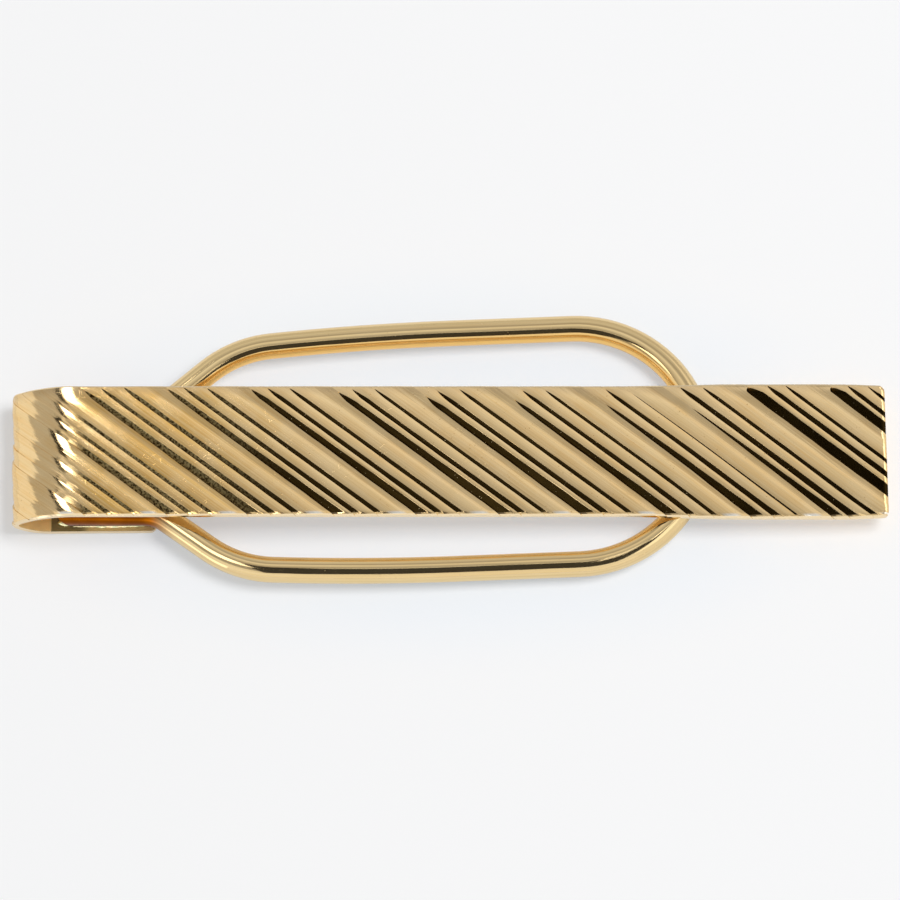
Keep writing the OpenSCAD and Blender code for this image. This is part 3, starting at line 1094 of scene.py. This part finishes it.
# The pale card over the ribs, brighter in a band across its middle: y in mm and brightness there
softCard = {
    "above": 0.5 * mm,      # the other level cards
    "across": (-60, 56),
    "stops": [(-8, 0.42), (1, 0.5), (9, 0.66), (18, 0.78), (25, 0.94), (29, 0.86), (34, 0.56), (46, 0.46), (64, 0.62),
              (120, 0.8)],
}


def plainMaterial(name, colour):
    material = bpy.data.materials.new(name)
    material.use_nodes = True
    shader = material.node_tree.nodes["Principled BSDF"]
    shader.inputs["Base Color"].default_value = (*colour, 1)
    shader.inputs["Roughness"].default_value = 0.9
    shader.inputs["Specular IOR Level"].default_value = 0.0
    return material


def glowMaterial(name, shade):
    material = bpy.data.materials.new(name)
    material.use_nodes = True
    tree = material.node_tree
    tree.nodes.clear()
    glow = addNode(tree, "ShaderNodeEmission", Color=(1, 1, 1, 1), Strength=shade)
    out = addNode(tree, "ShaderNodeOutputMaterial")
    tree.links.new(glow.outputs["Emission"], out.inputs["Surface"])
    return material


def gradedMaterial(name, stops):
    low, high = stops[0][0], stops[-1][0]
    material = glowMaterial(name, 1.0)
    tree = material.node_tree
    ramp = addNode(tree, "ShaderNodeValToRGB")
    while len(ramp.color_ramp.elements) < len(stops):
        ramp.color_ramp.elements.new(0.5)
    for element, (y, shade) in zip(ramp.color_ramp.elements, stops):
        element.position = (y - low) / (high - low)
        element.color = (shade, shade, shade, 1)
    reach = addNode(tree, "ShaderNodeMapRange")
    reach.inputs["From Min"].default_value, reach.inputs["From Max"].default_value = low, high
    tree.links.new(splitPlace(tree, placeFrom(tree))["Y"], reach.inputs["Value"])
    tree.links.new(reach.outputs["Result"], ramp.inputs["Fac"])
    tree.links.new(ramp.outputs["Color"], tree.nodes["Emission"].inputs["Color"])
    return material


def plainlySeen(tree):
    # The camera, metal and glass see the plain backdrop, and only the light that falls on the clip is dimmer
    seen = addNode(tree, "ShaderNodeLightPath").outputs
    straight = maths(tree, "MAXIMUM", seen["Is Camera Ray"], seen["Is Glossy Ray"])
    return maths(tree, "MAXIMUM", straight, seen["Is Transmission Ray"])


def floorMaterial():
    material = plainMaterial("floor_paper", studio["floorColour"])
    tree = material.node_tree
    glow = addNode(tree, "ShaderNodeEmission", Strength=1)
    place = addNode(tree, "ShaderNodeVectorMath", operation="DIVIDE")
    tree.links.new(placeFrom(tree), place.inputs[0])
    place.inputs[1].default_value = (*studio["nearReach"], 1000)        # the floor's slope plays no part
    away = addNode(tree, "ShaderNodeVectorMath", operation="LENGTH")
    tree.links.new(place.outputs[0], away.inputs[0])
    near = spread(tree, away.outputs["Value"], *studio["nearFade"], 1.0, 0.0)
    tree.links.new(mixColour(tree, near, studio["backdropColour"], studio["nearColour"]), glow.inputs["Color"])
    blend = addNode(tree, "ShaderNodeMixShader")
    tree.links.new(maths(tree, "MULTIPLY", plainlySeen(tree), studio["floorGlow"]), blend.inputs["Fac"])
    tree.links.new(tree.nodes["Principled BSDF"].outputs["BSDF"], blend.inputs[1])
    tree.links.new(glow.outputs["Emission"], blend.inputs[2])
    tree.links.new(blend.outputs["Shader"], tree.nodes["Material Output"].inputs["Surface"])
    return material


def layFloor():
    lean = strip["lean"]
    x, z, heading = tongueStart
    tongueEnd = Vector((x + strip["tongueLength"] * math.cos(lean), 0, z + strip["tongueLength"] * math.sin(lean)))
    farEnd = tongueEnd + Vector((wire["loopReach"] * math.cos(lean), 0, wire["loopReach"] * math.sin(lean)))
    farEnd.z += strip["sheet"]
    slope = math.atan2(farEnd.z - tongueEnd.z, farEnd.x - tongueEnd.x)
    deselectAll()
    bpy.ops.mesh.primitive_plane_add(size=studio["floorSize"], location=tongueEnd, rotation=(0, -slope, 0))
    floor = bpy.context.object
    floor.name = "floor"
    applyPlace(floor)
    dress(floor, floorMaterial())
    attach(floor, "back")      # the loop and the tongue lie on the floor at every pose
    print("floor slope in degrees:", round(math.degrees(slope), 3))


def hangCard(name, place, turn, width, height, material):
    deselectAll()
    bpy.ops.mesh.primitive_plane_add(size=1, location=place, rotation=turn)
    card = bpy.context.object
    card.scale = (width, height, 1)
    applyPlace(card)
    card.name = name
    dress(card, material)
    card.visible_camera = card.visible_diffuse = card.visible_shadow = False


def hangLevel(name, across, along, height, material):
    place = (sum(across) / 2 * mm, sum(along) / 2 * mm, height)
    hangCard(name, place, (0, 0, 0), (across[1] - across[0]) * mm, (along[1] - along[0]) * mm, material)


def lightStudio():
    world = bpy.data.worlds.new("studio")
    bpy.context.scene.world = world
    world.use_nodes = True
    tree = world.node_tree
    background = tree.nodes["Background"]
    shown = mixColour(tree, plainlySeen(tree), studio["domeColour"], studio["backdropColour"])
    tree.links.new(shown, background.inputs["Color"])
    direction = Vector(studio["lampDirection"]).normalized()
    deselectAll()
    bpy.ops.object.light_add(type="AREA", location=direction * studio["lampDistance"],
                             rotation=direction.to_track_quat("Z", "Y").to_euler())
    lamp = bpy.context.object
    lamp.name = "soft_lamp"
    lamp.data.size = studio["lampSize"]
    lamp.data.energy = studio["lampShare"] * math.pi ** 2 * studio["lampDistance"] ** 2 / direction.z
    lamp.visible_camera = lamp.visible_glossy = False
    for name, across, along, shade in levelCards:
        hangLevel(name, across, along, studio["cardHeight"], glowMaterial(name, shade))
    stops = softCard["stops"]
    along = (stops[0][0], stops[-1][0])
    height = studio["cardHeight"] + softCard["above"]
    hangLevel("soft_card", softCard["across"], along, height, gradedMaterial("soft_card", stops))
    for name, place, turn, width, height, shade in uprightCards:
        hangCard(name, place, turn, width, height, glowMaterial(name, shade))


def placeCamera():
    e = studio["cameraElevation"]
    distance = studio["cameraDistance"]
    aim = Vector(studio["aim"])
    back = Vector((0, -math.cos(e), math.sin(e)))
    deselectAll()
    bpy.ops.object.camera_add(location=aim + back * distance, rotation=(math.pi / 2 - e, 0, 0))
    camera = bpy.context.object
    camera.data.sensor_width = studio["cameraSensor"]
    camera.data.lens = studio["cameraSensor"] * distance / studio["frameWidth"]
    camera.data.clip_start, camera.data.clip_end = studio["cameraClip"]
    bpy.context.scene.camera = camera


layFloor()
lightStudio()
placeCamera()
bpy.context.scene.view_settings.view_transform = "Standard"
print("studio:", len(levelCards) + len(uprightCards) + 1, "cards")
